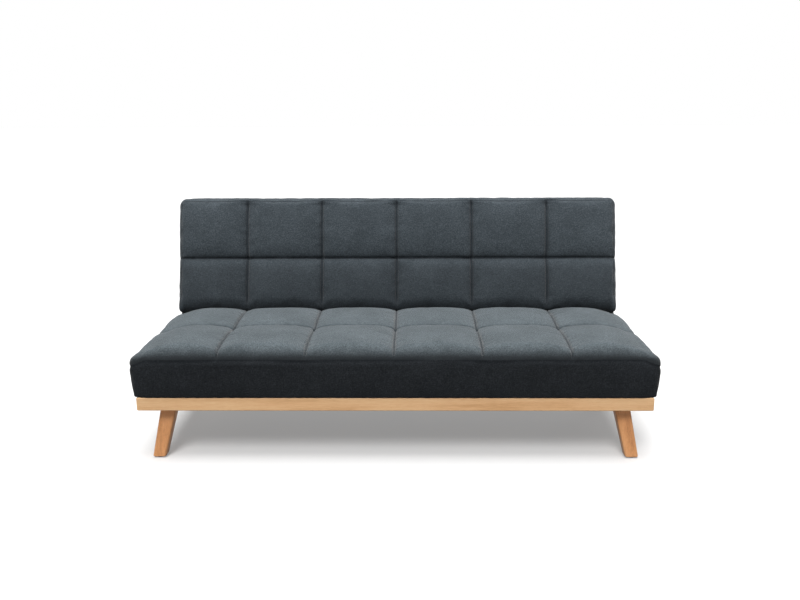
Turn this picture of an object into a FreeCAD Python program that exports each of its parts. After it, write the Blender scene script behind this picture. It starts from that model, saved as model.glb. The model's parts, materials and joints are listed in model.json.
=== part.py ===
import FreeCAD, Part

import math
import os

# A three-seat click clack sofa bed in its upright position, in millimetres.
# X runs along the seat, the front faces -Y, Z is up.
# The origin is on the floor, under the middle of the sofa's outline.

V = FreeCAD.Vector
X_AXIS = V(1, 0, 0)

# Overall sizes of the soft parts
seat_width = 1810.0
seat_depth = 575.0
seat_seam_height = 392.0
back_end_inset = 25.0
back_length = 467.0
back_thickness = 135.0
cushion_gap = 16.0
back_lean = 15.5
cover_thickness = 3.0

# Tufting: cells sewn through the cover, higher in the middle of each cell
columns = 6
cell_pitch = 300.0
seat_front_row = 302.0
back_lower_row = 223.0
crown_across = 13.0
crown_along = 13.0
seat_shoulder_drop = 20.0
back_shoulder_drop = 6.0
end_margin = 1.0

# Roundings and drawn-in sides of the soft parts
hinge_edge_radius = 70.0
seat_front_radius = 42.0
seat_shoulder_radius = 55.0
seat_corner_radius = 30.0
seat_draw_in = 10.0
seat_front_draw_in = 8.0
back_top_radius = 32.0
back_shoulder_radius = 30.0
back_corner_radius = 36.0
back_low_corner_radius = 20.0
back_rear_radius = 18.0
back_draw_in = 6.0
draw_in_at_middle = 0.2

# How far a shape that trims a cushion reaches past it
overcut = 2.0

# Wooden base
floor_to_rail = 182.0
rail_height = 47.0
rail_thickness = 30.0
rail_end_inset = 19.0
rail_setback = 6.0
rail_round = 4.0
base_behind_seat = 45.0
dust_cover_thickness = 1.2
dust_cover_inset = 16.0
block_width = 130.0
block_depth = 100.0
block_height = 40.0

# Legs
leg_top_size = 56.0
leg_foot_size = 46.0
leg_edge_radius = 8.0
leg_from_end = 98.0
leg_from_front = 75.0
leg_splay_x = 38.0
leg_splay_y = 36.0
leg_chamfer = 3.0
glide_height = 4.0
glide_radius = 14.0
leg_plate_size = 76.0
leg_plate_thickness = 2.5
leg_bolt_radius = 4.0
leg_bolt_in_leg = 45.0
tee_nut_radius = 6.0
tee_nut_height = 12.0

# Timber frames inside the cushions
seat_frame_height = 90.0
seat_frame_wrap = 14.0
seat_member = 28.0
back_frame_height = 60.0
back_frame_wrap = 12.0
back_side_wrap = 18.0
back_member = 22.0
cross_member_x = 290.0

# Springs, webbing and pads
spring_wire = 1.9
spring_loop = 24.0
spring_turn = 17.0
spring_spacing = 150.0
spring_end_cover = 12.0
clip_width = 14.0
clip_thickness = 1.5
spring_pad_thickness = 3.0
webbing_width = 60.0
webbing_thickness = 2.0
webbing_spacing = 140.0

# Hinge mechanism
hinge_below_seam = 24.0
plate_thickness = 4.0
washer_thickness = 0.5
pivot_radius = 5.0
running_clearance = 0.05
pivot_head_radius = 9.0
pivot_head = 3.0
plate_eye_radius = 14.0
ratchet_radius = 27.0
ratchet_notch_radius = 3.0
ratchet_stops = (0.0, 0.5, 1.0)
pawl_clearance = 0.4
pawl_width = 12.0
pawl_pin_radius = 3.0
pawl_pin_drop = 38.0
pawl_eye_radius = 8.0
pawl_nose = 3.0
pawl_swing = 8.0
bolt_radius = 3.0
bolt_head_radius = 6.0
bolt_head = 3.5
bolt_in_timber = 18.0
plate_edge = 15.0
seat_plate_reach = 55.0
seat_plate_drop = 80.0
back_plate_reach = 100.0
pocket_clearance = 2.0
screw_radius = 2.0
screw_head_radius = 5.0
screw_head = 3.0
screw_in_frame = 35.0
front_screw_spacing = 300.0

# Heights and levels worked out from the sizes above
half_seat = seat_width / 2
half_back = half_seat - back_end_inset
rail_top = floor_to_rail + rail_height
cushion_bottom = rail_top + dust_cover_thickness
hinge_z = seat_seam_height - hinge_below_seam
rise_angle = 90.0 - back_lean
crown_height = crown_across + crown_along

# The back cushion is built lying flat behind the hinge, with the hinge at its own zero
back_near = cushion_gap / 2
back_far = back_near + back_length
back_seam = hinge_below_seam
back_rear = back_seam + crown_height - back_thickness


def upright(y, z):
    """Where a point of the flat back cushion lies when the back is up, from the hinge."""
    a = math.radians(rise_angle)
    return y * math.cos(a) - z * math.sin(a), y * math.sin(a) + z * math.cos(a)


# The upright back reaches furthest behind the hinge at its rounded top rear edge
back_reach = upright(back_far - back_rear_radius, back_rear + back_rear_radius)[0] + back_rear_radius
front_y = -(seat_depth + back_near + back_reach) / 2
seat_rear_y = front_y + seat_depth
hinge_y = seat_rear_y + cushion_gap / 2

# Base outline
half_rail = half_seat - rail_end_inset
base_front_y = front_y + rail_setback
base_rear_y = seat_rear_y + base_behind_seat
half_base_inside = half_rail - rail_thickness

# Frames: the hinge plates stand side by side, the back's inside and the seat's outside
back_frame_x = half_back - back_side_wrap
seat_frame_x = back_frame_x + plate_thickness + washer_thickness
seat_frame_front = front_y + seat_frame_wrap
seat_frame_rear = seat_rear_y - seat_frame_wrap
seat_frame_top = cushion_bottom + seat_frame_height
seat_inside_x = seat_frame_x - seat_member
spring_top = seat_frame_top + 2 * spring_wire + clip_thickness
seat_pad_top = spring_top + spring_pad_thickness
back_frame_near = back_near + back_frame_wrap
back_frame_far = back_far - back_frame_wrap
back_frame_floor = back_rear + cover_thickness
back_frame_top = back_frame_floor + back_frame_height
back_inside_x = back_frame_x - back_member
back_pad_top = back_frame_top + webbing_thickness

# Pawl, from the hinge
pawl_y = -(ratchet_radius + pawl_clearance + pawl_width / 2)


def box(x0, x1, y0, y1, z0, z1):
    return Part.makeBox(x1 - x0, y1 - y0, z1 - z0, V(x0, y0, z0))


def rod_x(radius, x0, x1, y, z):
    return Part.makeCylinder(radius, x1 - x0, V(x0, y, z), X_AXIS)


def rod_z(radius, z0, z1, x, y):
    return Part.makeCylinder(radius, z1 - z0, V(x, y, z0))


def plate_x(points, x0, x1):
    """A plate with an outline of (y, z) points, from x0 to x1."""
    corners = [V(x0, y, z) for y, z in points]
    return Part.Face(Part.makePolygon(corners + corners[:1])).extrude(V(x1 - x0, 0, 0))


def line(a, b):
    return Part.LineSegment(a, b).toShape()


def arc(a, middle, b):
    return Part.Arc(a, middle, b).toShape()


def corner(a, centre, b):
    """A quarter round from a to b about the centre."""
    radius = (a - centre).Length
    outward = ((a - centre) + (b - centre)).normalize()
    return arc(a, centre + outward * radius, b)


def mirrored(shape):
    return shape.mirror(V(0, 0, 0), X_AXIS)


def both_sides(shape):
    return [shape, mirrored(shape)]


def at_hinge(shape):
    """Moves a shape drawn from the hinge to the hinge's place."""
    moved = shape.copy()
    moved.translate(V(0, hinge_y, hinge_z))
    return moved


def raised(shape):
    """Moves a shape of the flat back to its place on the upright back."""
    moved = shape.copy()
    moved.rotate(V(0, 0, 0), X_AXIS, rise_angle)
    return at_hinge(moved)


# Tufted cushions


def cushion_section(half, bottom, valley, shoulder_radius, shoulder_drop, draw_in, y):
    """A cushion cut across at y: drawn-in sides, rounded shoulders and one crowned arc for each cell."""
    r = shoulder_radius
    shoulder = valley + crown_across - shoulder_drop
    low = half - draw_in
    middle = (bottom + shoulder - r) / 2
    seams = [cell_pitch * (i - columns / 2) for i in range(columns - 1, 0, -1)]
    stops = [half - r] + seams + [r - half]
    heights = [shoulder] + [valley] * len(seams) + [shoulder]

    def side(sign):
        foot, bulge = V(sign * low, y, bottom), V(sign * (half - draw_in * draw_in_at_middle), y, middle)
        edge, centre = V(sign * half, y, shoulder - r), V(sign * (half - r), y, shoulder - r)
        return arc(foot, bulge, edge), corner(edge, centre, V(sign * (half - r), y, shoulder))

    edges = [line(V(-low, y, bottom), V(low, y, bottom))]
    edges += side(1)
    for a, b, za, zb in zip(stops, stops[1:], heights, heights[1:]):
        edges.append(arc(V(a, y, za), V((a + b) / 2, y, valley + crown_across), V(b, y, zb)))
    edges += reversed(side(-1))
    return Part.Wire(Part.__sortEdges__(edges))


def cushion_rows(half, near, far, row, bottom, seam, shoulder, draw_in):
    """Both rows of cells, each crowned along its length, meeting at the row seam and untrimmed at the ends.

    The shoulder is the rounding's radius and how far its top lies under the crown.
    """
    solids = []
    for y0, y1 in ((near - overcut, row), (row, far + overcut)):
        stations = ((y0, seam), ((y0 + y1) / 2, seam + crown_along), (y1, seam))
        sections = [cushion_section(half, bottom, z, *shoulder, draw_in, y) for y, z in stations]
        solids.append(Part.makeLoft(sections, True, False))
    return solids[0].fuse(solids[1])


def cushion_plan(half, near, far, near_radius, far_radius, bottom, top):
    """A block that rounds the cushion's corners as seen from above and reaches just past its faces."""
    w, n, f = half + overcut, near - overcut, far + overcut
    r, q, z = near_radius, far_radius, bottom - overcut
    edges = [line(V(r - w, n, z), V(w - r, n, z))]
    edges.append(corner(V(w - r, n, z), V(w - r, n + r, z), V(w, n + r, z)))
    edges.append(line(V(w, n + r, z), V(w, f - q, z)))
    edges.append(corner(V(w, f - q, z), V(w - q, f - q, z), V(w - q, f, z)))
    edges.append(line(V(w - q, f, z), V(q - w, f, z)))
    edges.append(corner(V(q - w, f, z), V(q - w, f - q, z), V(-w, f - q, z)))
    edges.append(line(V(-w, f - q, z), V(-w, n + r, z)))
    edges.append(corner(V(-w, n + r, z), V(r - w, n + r, z), V(r - w, n, z)))
    return Part.Face(Part.Wire(edges)).extrude(V(0, 0, top - z))


def end_level(seam, row_length, radius):
    """How high a cushion's end rounding starts: just over the crown of the row that it ends."""
    share = 1 - 2 * radius / row_length
    return seam + crown_across + crown_along * (1 - share**2) + end_margin


def cushion_profile(half, near, far, bottom, near_end, far_end, near_draw, low_radius):
    """A block that gives the cushion its end view: a near face, rounded top edges and a far face.

    near_end and far_end are each end's rounding radius and the level that it starts at.
    """
    (n, near_level), (f, far_level), w = near_end, far_end, low_radius
    x, top, floor = -half - overcut, max(near_level, far_level) + crown_height, bottom - overcut
    foot, edge = V(x, near + near_draw, floor), V(x, near, near_level - n)
    edges = [line(V(x, far - w, floor), foot)]
    if near_draw:
        middle = (floor + near_level - n) / 2
        edges.append(arc(foot, V(x, near + near_draw * draw_in_at_middle, middle), edge))
    else:
        edges.append(line(foot, edge))
    edges.append(corner(edge, V(x, near + n, near_level - n), V(x, near + n, near_level)))
    edges.append(line(V(x, near + n, near_level), V(x, near + n, top)))
    edges.append(line(V(x, near + n, top), V(x, far - f, top)))
    edges.append(line(V(x, far - f, top), V(x, far - f, far_level)))
    edges.append(corner(V(x, far - f, far_level), V(x, far - f, far_level - f), V(x, far, far_level - f)))
    if w:
        edges.append(line(V(x, far, far_level - f), V(x, far, bottom + w)))
        edges.append(corner(V(x, far, bottom + w), V(x, far - w, bottom + w), V(x, far - w, bottom)))
        edges.append(line(V(x, far - w, bottom), V(x, far - w, floor)))
    else:
        edges.append(line(V(x, far, far_level - f), V(x, far, floor)))
    return Part.Face(Part.Wire(edges)).extrude(V(-2 * x, 0, 0))


def seat_form(inset):
    """The seat cushion's outer form, or with an inset the space inside its cover."""
    half, near, far = half_seat - inset, front_y + inset, seat_rear_y - inset
    seam, row = seat_seam_height - inset, front_y + seat_front_row
    corners = seat_corner_radius - inset
    shoulder = seat_shoulder_radius - inset, seat_shoulder_drop
    front, rear = seat_front_radius - inset, hinge_edge_radius - inset
    front_end = front, end_level(seam, row - near, front)
    rear_end = rear, end_level(seam, far - row, rear)
    rows = cushion_rows(half, near, far, row, cushion_bottom, seam, shoulder, seat_draw_in)
    plan = cushion_plan(half, near, far, corners, corners, cushion_bottom, seam + crown_height + overcut)
    profile = cushion_profile(half, near, far, cushion_bottom, front_end, rear_end, seat_front_draw_in, 0)
    return rows.common(plan).common(profile).removeSplitter()


def back_form(inset):
    """The back cushion's outer form lying flat, or with an inset the space inside its cover."""
    half, near, far = half_back - inset, back_near + inset, back_far - inset
    seam, row = back_seam - inset, back_near + back_lower_row
    low_corners, top_corners = back_low_corner_radius - inset, back_corner_radius - inset
    shoulder = back_shoulder_radius - inset, back_shoulder_drop
    low_edge, top_edge = hinge_edge_radius - inset, back_top_radius - inset
    low_end = low_edge, end_level(seam, row - near, low_edge)
    top_end = top_edge, end_level(seam, far - row, top_edge)
    rows = cushion_rows(half, near, far, row, back_rear, seam, shoulder, back_draw_in)
    plan = cushion_plan(half, near, far, low_corners, top_corners, back_rear, seam + crown_height + overcut)
    profile = cushion_profile(half, near, far, back_rear, low_end, top_end, 0, back_rear_radius - inset)
    return rows.common(plan).common(profile).removeSplitter()


# Pockets in the cushions for the hinge, drawn from the hinge on the right


def hinge_recess():
    """A round space about the hinge, wide enough for the ratchet and the pivot's heads."""
    inner = back_frame_x - pivot_head - washer_thickness - pocket_clearance
    outer = seat_frame_x + plate_thickness + pivot_head + pocket_clearance
    return rod_x(ratchet_radius + pocket_clearance, inner, outer, 0, 0)


def seat_plate_points():
    """The seat plate's outline: from the eye at the hinge down to the timber end member."""
    rear = -cushion_gap / 2 - seat_frame_wrap - pocket_clearance
    front = rear - seat_plate_reach
    top = seat_frame_top - hinge_z
    return [
        (-plate_eye_radius, 0),
        (front, top),
        (front, top - seat_plate_drop),
        (rear, top - seat_plate_drop),
        (rear, top),
        (0, -plate_eye_radius),
    ]


def seat_pockets():
    """The spaces that the seat plate, its bolts and the pawl take up in the seat foam."""
    c = pocket_clearance
    points = seat_plate_points()
    front, foot = points[1][0] - c, points[2][1] - c
    rear = -cushion_gap / 2
    outer = seat_frame_x + plate_thickness + bolt_head + c
    slot = box(seat_frame_x, outer, front, rear, foot, plate_eye_radius + c)
    swing = (pawl_pin_drop + pawl_nose) * math.sin(math.radians(pawl_swing))
    pawl_front = pawl_y - pawl_width / 2 - swing - c
    pawl_slot = box(
        back_frame_x - pivot_head - washer_thickness, seat_frame_x, pawl_front, rear,
        seat_frame_top - hinge_z, pawl_nose + c,
    )
    return slot.fuse(pawl_slot)


def back_plate_points():
    """The back plate's arm, from the ratchet along the timber side member of the flat back."""
    low, high = back_frame_floor + pocket_clearance, back_frame_top - pocket_clearance
    far = back_frame_near + back_plate_reach
    return [
        (pivot_radius, -ratchet_radius + pocket_clearance),
        (back_frame_near + pivot_radius, low),
        (far, low),
        (far, high),
        (back_frame_near + ratchet_radius, high),
        (ratchet_radius - pocket_clearance / 2, pivot_radius),
    ]


def back_pockets():
    """The spaces that the back plate and its bolts take up in the back foam."""
    c = pocket_clearance
    points = back_plate_points()
    far, high = points[3][0] + c, points[3][1] + c
    outer = back_frame_x + plate_thickness + bolt_head + c
    arm = box(back_frame_x, outer, back_near, far, back_frame_floor, high)
    root = box(back_frame_x, outer, back_near, back_frame_near + ratchet_radius + c, high, pivot_radius + c)
    return arm.fuse(root)


# Fasteners


def bolt_places(y0, y1, z0, z1):
    """Four bolt places, one in each corner of a rectangle, one plate edge in from its sides."""
    return [(y, z) for y in (y0 + plate_edge, y1 - plate_edge) for z in (z0 + plate_edge, z1 - plate_edge)]


def bolt_x(face, y, z):
    """A bolt along X, its head on the plate's outer face and its shank in the timber behind."""
    outer = face + plate_thickness
    shank = rod_x(bolt_radius, face - bolt_in_timber, outer, y, z)
    return shank.fuse(rod_x(bolt_head_radius, outer, outer + bolt_head, y, z)).removeSplitter()


def bolt_holes(face, places):
    return [rod_x(bolt_radius, face - bolt_in_timber, face + plate_thickness, y, z) for y, z in places]


def seat_bolt_places():
    points = seat_plate_points()
    return bolt_places(points[2][0], points[3][0], points[2][1], points[1][1])


def back_bolt_places():
    points = back_plate_points()
    return bolt_places(points[4][0] - bolt_head_radius, points[2][0], points[2][1], points[3][1])


def screw_places():
    """Screws up through the rails: along the front rail and at the ends of the cross rails."""
    front = base_front_y + rail_thickness / 2
    count = int((2 * seat_inside_x - front_screw_spacing) // front_screw_spacing)
    start = -front_screw_spacing * (count - 1) / 2
    places = [(start + front_screw_spacing * i, front) for i in range(count)]
    for x in (-cross_member_x, cross_member_x):
        places += [(x, seat_frame_front + 2 * seat_member), (x, seat_frame_rear - 2 * seat_member)]
    return places


def screw(x, y):
    """A wood screw from below, its head sunk flush in the rail."""
    top = rail_top + dust_cover_thickness + screw_in_frame
    head = rod_z(screw_head_radius, floor_to_rail, floor_to_rail + screw_head, x, y)
    return head.fuse(rod_z(screw_radius, floor_to_rail + screw_head, top, x, y)).removeSplitter()


def screw_holes():
    return [screw(x, y) for x, y in screw_places()]


# Base


def long_rail(y0):
    """A front or rear rail with its long edges and ends softened."""
    rail = box(-half_rail, half_rail, y0, y0 + rail_thickness, floor_to_rail, rail_top)
    return rail.makeFillet(rail_round, rail.Edges)


def side_rail():
    """The right side rail between the front and rear rails."""
    y0, y1 = base_front_y + rail_thickness, base_rear_y - rail_thickness
    return box(half_base_inside, half_rail - rail_round, y0, y1, floor_to_rail, rail_top)


def cross_rail():
    y0, y1 = base_front_y + rail_thickness, base_rear_y - rail_thickness
    half = seat_member / 2
    return box(cross_member_x - half, cross_member_x + half, y0, y1, floor_to_rail, rail_top)


def block_box(rear):
    """The right leg block, in the base's front or rear corner."""
    x0, x1 = half_base_inside - block_width, half_base_inside
    if rear:
        y1 = base_rear_y - rail_thickness
        return x0, x1, y1 - block_depth, y1
    y0 = base_front_y + rail_thickness
    return x0, x1, y0, y0 + block_depth


def leg_top_centre(rear):
    y = base_rear_y - leg_from_front if rear else base_front_y + leg_from_front
    return half_rail - leg_from_end, y


def leg_top_z():
    return rail_top - block_height - leg_plate_thickness


def foot_centre(rear):
    x, y = leg_top_centre(rear)
    return x + leg_splay_x, y + (leg_splay_y if rear else -leg_splay_y)


def rounded_square(x, y, z, size):
    h, r = size / 2, leg_edge_radius
    edges = []
    for i in range(4):
        turn = math.radians(90 * i)
        c, s = round(math.cos(turn)), round(math.sin(turn))

        def spot(u, v):
            return V(x + u * c - v * s, y + u * s + v * c, z)

        edges.append(line(spot(h, r - h), spot(h, h - r)))
        edges.append(corner(spot(h, h - r), spot(h - r, h - r), spot(h - r, h)))
    return Part.Wire(edges)


def leg(rear):
    """A right leg: square with rounded edges, tapered and splayed outwards."""
    top_x, top_y = leg_top_centre(rear)
    foot_x, foot_y = foot_centre(rear)
    ankle = leg_chamfer / (leg_top_z() - glide_height)
    ankle_x, ankle_y = foot_x + (top_x - foot_x) * ankle, foot_y + (top_y - foot_y) * ankle
    sections = [
        rounded_square(foot_x, foot_y, glide_height, leg_foot_size - 2 * leg_chamfer),
        rounded_square(ankle_x, ankle_y, glide_height + leg_chamfer, leg_foot_size),
        rounded_square(top_x, top_y, leg_top_z(), leg_top_size),
    ]
    return Part.makeLoft(sections, True, True).cut(leg_bolt(rear))


def leg_bolt(rear):
    """A hanger bolt from the leg through the plate into the tee nut at the top of the block."""
    x, y = leg_top_centre(rear)
    return rod_z(leg_bolt_radius, leg_top_z() - leg_bolt_in_leg, rail_top, x, y)


def tee_nut(rear):
    x, y = leg_top_centre(rear)
    return rod_z(tee_nut_radius, rail_top - tee_nut_height, rail_top, x, y).cut(leg_bolt(rear))


def leg_plate(rear):
    x, y = leg_top_centre(rear)
    half = leg_plate_size / 2
    z = leg_top_z()
    return box(x - half, x + half, y - half, y + half, z, z + leg_plate_thickness).cut(leg_bolt(rear))


def leg_block(rear):
    x0, x1, y0, y1 = block_box(rear)
    block = box(x0, x1, y0, y1, rail_top - block_height, rail_top)
    x, y = leg_top_centre(rear)
    return block.cut(leg_bolt(rear)).cut(rod_z(tee_nut_radius, rail_top - tee_nut_height, rail_top, x, y))


def glide(rear):
    return rod_z(glide_radius, 0, glide_height, *foot_centre(rear))


def four(make):
    """The four corner copies of a piece that is drawn on the right."""
    return both_sides(make(False)) + both_sides(make(True))


def dust_cover():
    half = half_rail - dust_cover_inset
    y0, y1 = base_front_y + rail_round, seat_rear_y - dust_cover_inset
    return box(-half, half, y0, y1, rail_top, cushion_bottom).cut(screw_holes())


# Seat frame and springs


def seat_cross_member():
    half = seat_member / 2
    y0, y1 = seat_frame_front + seat_member, seat_frame_rear - seat_member
    return box(cross_member_x - half, cross_member_x + half, y0, y1, cushion_bottom, seat_frame_top)


def seat_long_member(y0):
    return box(-seat_inside_x, seat_inside_x, y0, y0 + seat_member, cushion_bottom, seat_frame_top)


def seat_end_member():
    end = box(seat_inside_x, seat_frame_x, seat_frame_front, seat_frame_rear, cushion_bottom, seat_frame_top)
    return end.cut([at_hinge(hole) for hole in bolt_holes(seat_frame_x, seat_bolt_places())])


def spring_places():
    """Three springs in each bay of the seat frame."""
    bay = (cross_member_x + seat_inside_x) / 2
    return [x + i * spring_spacing for x in (-bay, 0, bay) for i in (-1, 0, 1)]


def spring(x):
    """A zigzag spring from the front member to the rear member, lying on their tops."""
    z = seat_frame_top + spring_wire
    y0 = seat_frame_front + seat_member - spring_end_cover
    y1 = seat_frame_rear - seat_member + spring_end_cover
    r, half = spring_turn, spring_loop
    turns = int((y1 - y0 - 4 * r) // (2 * r)) // 2 * 2
    lead = (y1 - y0 - 2 * r * (turns + 1)) / 2
    y = y0 + lead
    edges = [line(V(x, y0, z), V(x, y, z)), corner(V(x, y, z), V(x + r, y, z), V(x + r, y + r, z))]
    start, side = V(x + r, y + r, z), 1
    for i in range(turns):
        edge = V(x + side * half, start.y, z)
        edges.append(line(start, edge))
        over = V(edge.x, edge.y + 2 * r, z)
        edges.append(arc(edge, V(edge.x + side * r, edge.y + r, z), over))
        start, side = over, -side
    last = V(x - r, start.y, z)
    edges.append(line(start, last))
    edges.append(corner(last, V(x - r, last.y + r, z), V(x, last.y + r, z)))
    edges.append(line(V(x, last.y + r, z), V(x, y1, z)))
    tip = Part.Wire(Part.makeCircle(spring_wire, V(x, y0, z), V(0, 1, 0)))
    return Part.Wire(edges).makePipeShell([tip], True, False)


def spring_clip(x, y):
    """A clip over the wire's end: a low bridge on the timber."""
    t = clip_thickness
    half = clip_width / 2
    height = 2 * spring_wire + t
    floor, ceiling = seat_frame_top, seat_frame_top + 2 * spring_wire
    bridge = box(x - half, x + half, y - half, y + half, floor, floor + height)
    gap = spring_wire + t / 2
    return bridge.cut(box(x - gap, x + gap, y - half, y + half, floor, ceiling))


def spring_clips():
    y0, y1 = seat_frame_front + seat_member / 2, seat_frame_rear - seat_member / 2
    return [spring_clip(x, y + s * clip_width / 2) for x in spring_places() for y, s in ((y0, 1), (y1, -1))]


def spring_pad():
    y0, y1 = seat_frame_front, seat_frame_rear
    return box(-seat_inside_x, seat_inside_x, y0, y1, spring_top, seat_pad_top)


def seat_cavity():
    """The space under the seat foam that the timber frame, springs and pad fill."""
    y0, y1 = seat_frame_front, seat_frame_rear
    frame = box(-seat_frame_x, seat_frame_x, y0, y1, cushion_bottom, seat_frame_top)
    springs = box(-seat_inside_x, seat_inside_x, y0, y1, seat_frame_top, seat_pad_top)
    return frame.fuse(springs)


def in_both_ends(shape):
    """A pocket at the right-hand hinge and its mirror image at the left."""
    return both_sides(at_hinge(shape))


def seat_foam():
    foam = seat_form(cover_thickness).cut(seat_cavity())
    return foam.cut(in_both_ends(seat_pockets()) + in_both_ends(hinge_recess()))


def seat_cover():
    return seat_form(0).cut(seat_form(cover_thickness)).cut(in_both_ends(hinge_recess().fuse(seat_slit())))


def seat_slit():
    """The slit in the cover's rear face that the seat plate comes out of."""
    points = seat_plate_points()
    outer = seat_frame_x + plate_thickness + pocket_clearance
    inner = back_frame_x - pocket_clearance
    return box(inner, outer, -cushion_gap / 2 - cover_thickness, 0, points[1][1], plate_eye_radius)


# Back frame, drawn flat


def back_long_member(y0):
    return box(-back_inside_x, back_inside_x, y0, y0 + back_member, back_frame_floor, back_frame_top)


def back_side_member():
    side = box(back_inside_x, back_frame_x, back_frame_near, back_frame_far, back_frame_floor, back_frame_top)
    return side.cut(bolt_holes(back_frame_x, back_bolt_places()))


def back_cross_member():
    half = back_member / 2
    y0, y1 = back_frame_near + back_member, back_frame_far - back_member
    return box(cross_member_x - half, cross_member_x + half, y0, y1, back_frame_floor, back_frame_top)


def webbing():
    """Elastic straps along the back, stapled over its long members."""
    count = int((back_inside_x - webbing_width / 2) // webbing_spacing)
    half = webbing_width / 2
    centres = [webbing_spacing * i for i in range(-count, count + 1)]
    return [
        box(x - half, x + half, back_frame_near, back_frame_far, back_frame_top, back_pad_top) for x in centres
    ]


def back_end_recesses():
    return both_sides(hinge_recess())


def back_panel():
    """The rear cloth: the cover's own thickness of the inner form."""
    slab = box(-half_back, half_back, back_near, back_far, back_rear, back_frame_floor)
    return back_form(cover_thickness).common(slab).cut(back_end_recesses())


def back_foam():
    foam = back_form(cover_thickness)
    rear = box(-half_back, half_back, back_near, back_far, back_rear, back_frame_floor)
    frame = box(-back_frame_x, back_frame_x, back_frame_near, back_frame_far, back_frame_floor, back_frame_top)
    straps = box(-back_inside_x, back_inside_x, back_frame_near, back_frame_far, back_frame_top, back_pad_top)
    return foam.cut([rear, frame, straps] + both_sides(back_pockets()) + back_end_recesses())


def back_slit():
    """The slit in the cover's lower face that the back plate's arm goes in by."""
    c = pocket_clearance
    x0, x1 = back_frame_x - c, back_frame_x + plate_thickness + c
    return box(x0, x1, back_near - c, back_near + cover_thickness, back_frame_floor, 0)


def back_cover():
    cover = back_form(0).cut(back_form(cover_thickness))
    return cover.cut(back_end_recesses() + both_sides(back_slit()))


# Hinge


def seat_plate():
    """The right seat plate, bolted to the seat frame's end and carrying the pivot and the pawl's pin."""
    x0, x1 = seat_frame_x, seat_frame_x + plate_thickness
    plate = plate_x(seat_plate_points(), x0, x1).fuse(rod_x(plate_eye_radius, x0, x1, 0, 0)).removeSplitter()
    holes = bolt_holes(seat_frame_x, seat_bolt_places())
    holes.append(rod_x(pivot_radius, x0, x1, 0, 0))
    holes.append(rod_x(pawl_pin_radius, x0, x1, pawl_y, -pawl_pin_drop))
    return at_hinge(plate.cut(holes))


def back_plate():
    """The right back plate, drawn flat: a ratchet disc about the pivot and an arm on the timber side."""
    x0, x1 = back_frame_x, back_frame_x + plate_thickness
    plate = plate_x(back_plate_points(), x0, x1).fuse(rod_x(ratchet_radius, x0, x1, 0, 0)).removeSplitter()
    holes = bolt_holes(back_frame_x, back_bolt_places())
    holes.append(rod_x(pivot_radius + running_clearance, x0, x1, 0, 0))
    for share in ratchet_stops:
        turn = math.radians(180 - share * rise_angle)
        y, z = ratchet_radius * math.cos(turn), ratchet_radius * math.sin(turn)
        holes.append(rod_x(ratchet_notch_radius, x0, x1, y, z))
    return plate.cut(holes)


def pivot_pin():
    """The pivot: a shank through both plates with a head at each end."""
    inner = back_frame_x - running_clearance
    outer = seat_frame_x + plate_thickness
    pin = rod_x(pivot_radius, inner - pivot_head, outer + pivot_head, 0, 0)
    pin = pin.fuse(rod_x(pivot_head_radius, inner - pivot_head, inner, 0, 0))
    return at_hinge(pin.fuse(rod_x(pivot_head_radius, outer, outer + pivot_head, 0, 0)).removeSplitter())


def pivot_washer():
    """A thin washer that keeps the two plates apart, fixed to the seat plate."""
    x0, x1 = back_frame_x + plate_thickness + running_clearance, seat_frame_x
    washer = rod_x(pivot_head_radius, x0, x1, 0, 0)
    return at_hinge(washer.cut(rod_x(pivot_radius, x0, x1, 0, 0)))


def pawl():
    """The right pawl: a lever from its pin up beside the ratchet's rim."""
    x0, x1 = back_frame_x, back_frame_x + plate_thickness
    half = pawl_width / 2
    arm = box(x0, x1, pawl_y - half, pawl_y + half, -pawl_pin_drop, pawl_nose)
    eye = rod_x(pawl_eye_radius, x0, x1, pawl_y, -pawl_pin_drop)
    hole = rod_x(pawl_pin_radius + running_clearance, x0, x1, pawl_y, -pawl_pin_drop)
    return at_hinge(arm.fuse(eye).removeSplitter().cut(hole))


def pawl_pin():
    """The pawl's pin, riveted in the seat plate with a head inside the pawl."""
    inner, outer = back_frame_x - running_clearance, seat_frame_x + plate_thickness
    head_face = inner - washer_thickness
    pin = rod_x(pawl_pin_radius, head_face, outer, pawl_y, -pawl_pin_drop)
    head = rod_x(pawl_width / 2, head_face, inner, pawl_y, -pawl_pin_drop)
    return at_hinge(pin.fuse(head).removeSplitter())


def save(name, shape):
    """Writes one piece, or a list of like pieces, to its own file."""
    if isinstance(shape, list):
        shape = Part.makeCompound(shape)
    if not shape.isValid():
        print("not valid:", name)
    print(name, len(shape.Solids), round(shape.Volume / 1000, 1))
    shape.exportStep("parts/" + name + ".step")


def save_pair(name, shape):
    """Writes a right-hand piece and its mirror image on the left."""
    save("right_" + name, shape)
    save("left_" + name, mirrored(shape))


os.makedirs("parts", exist_ok=True)

holes = screw_holes()
save("front_rail", long_rail(base_front_y).cut(holes))
save("rear_rail", long_rail(base_rear_y - rail_thickness))
save_pair("side_rail", side_rail())
save("cross_rails", [rail.cut(holes) for rail in both_sides(cross_rail())])
save("leg_blocks", four(leg_block))
save("leg_plates", four(leg_plate))
save("leg_bolts", four(leg_bolt))
save("leg_tee_nuts", four(tee_nut))
save_pair("front_leg", leg(False))
save_pair("rear_leg", leg(True))
save("foot_glides", four(glide))
save("dust_cover", dust_cover())
save("frame_screws", holes)

save("seat_front_member", seat_long_member(seat_frame_front).cut(holes))
save("seat_rear_member", seat_long_member(seat_frame_rear - seat_member))
save_pair("seat_end_member", seat_end_member())
save("seat_cross_members", [member.cut(holes) for member in both_sides(seat_cross_member())])
save("seat_springs", [spring(x) for x in spring_places()])
save("spring_clips", spring_clips())
save("spring_pad", spring_pad())
save("seat_foam", seat_foam())
save("seat_cover", seat_cover())

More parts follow.
